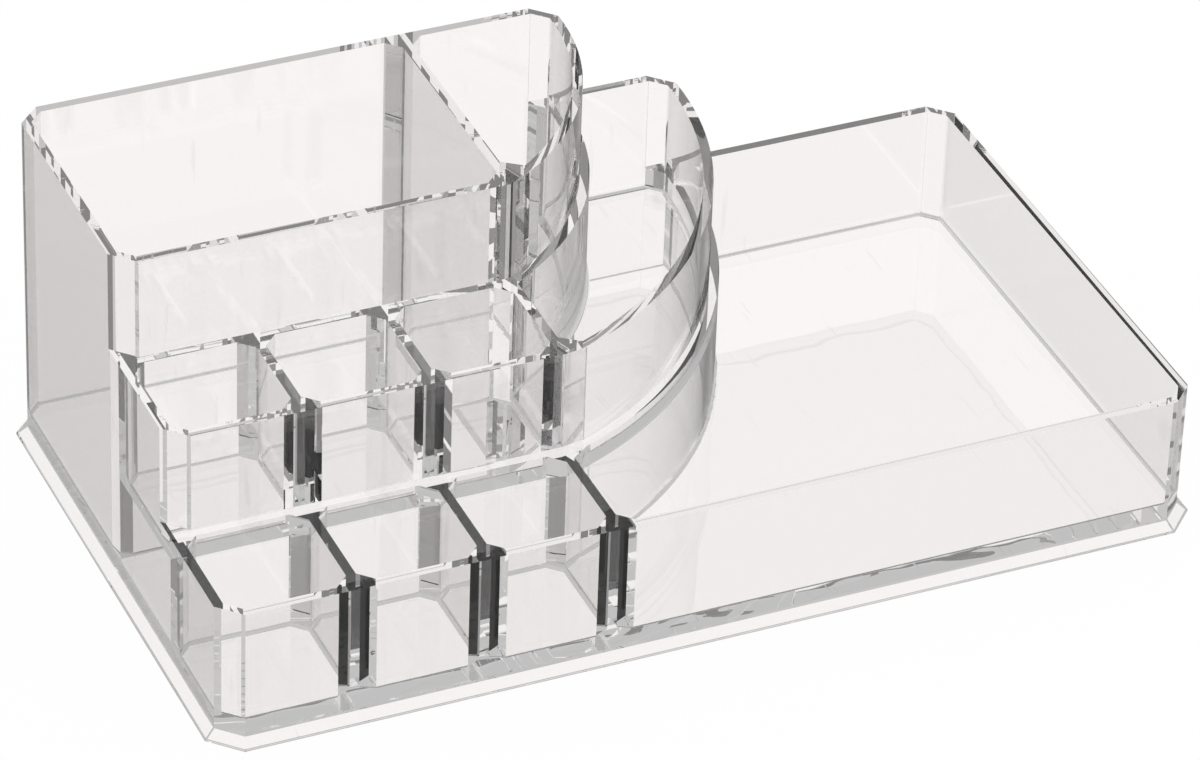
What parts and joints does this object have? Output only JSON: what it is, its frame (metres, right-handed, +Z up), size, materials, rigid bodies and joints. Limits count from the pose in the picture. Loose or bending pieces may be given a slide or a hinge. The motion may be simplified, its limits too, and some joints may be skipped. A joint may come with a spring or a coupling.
{
  "type": "acrylic makeup organizer",
  "caption": "Clear open-topped desk organizer in stepped tiers, with small square pockets, curved upper compartments and a wide low tray for cosmetics.",
  "frame": {"origin": "on the table, under the middle of the footprint", "axes": "+X to the right along the front, +Y to the rear, +Z up"},
  "size_m": [0.2226, 0.1272, 0.079],
  "materials": {
    "clear_acrylic": "clear polished acrylic"
  },
  "bodies": {
    "root": {"base_plate": "clear_acrylic", "left_panel": "clear_acrylic", "rear_panel": "clear_acrylic", "right_panel": "clear_acrylic", "front_panel": "clear_acrylic", "tall_wall": "clear_acrylic", "middle_floor": "clear_acrylic", "middle_wall": "clear_acrylic", "middle_back": "clear_acrylic", "low_back": "clear_acrylic", "rear_left_strip": "clear_acrylic", "tall_front_strip": "clear_acrylic", "tall_rear_strip": "clear_acrylic", "middle_front_strip": "clear_acrylic", "middle_rear_strip": "clear_acrylic", "front_left_strip": "clear_acrylic", "front_right_strip": "clear_acrylic", "rear_right_strip": "clear_acrylic", "tall_divider": "clear_acrylic", "middle_divider_left": "clear_acrylic", "middle_divider_center": "clear_acrylic", "middle_divider_right": "clear_acrylic", "low_divider_left": "clear_acrylic", "low_divider_center": "clear_acrylic", "low_divider_right": "clear_acrylic"}
  },
  "joints": []
}
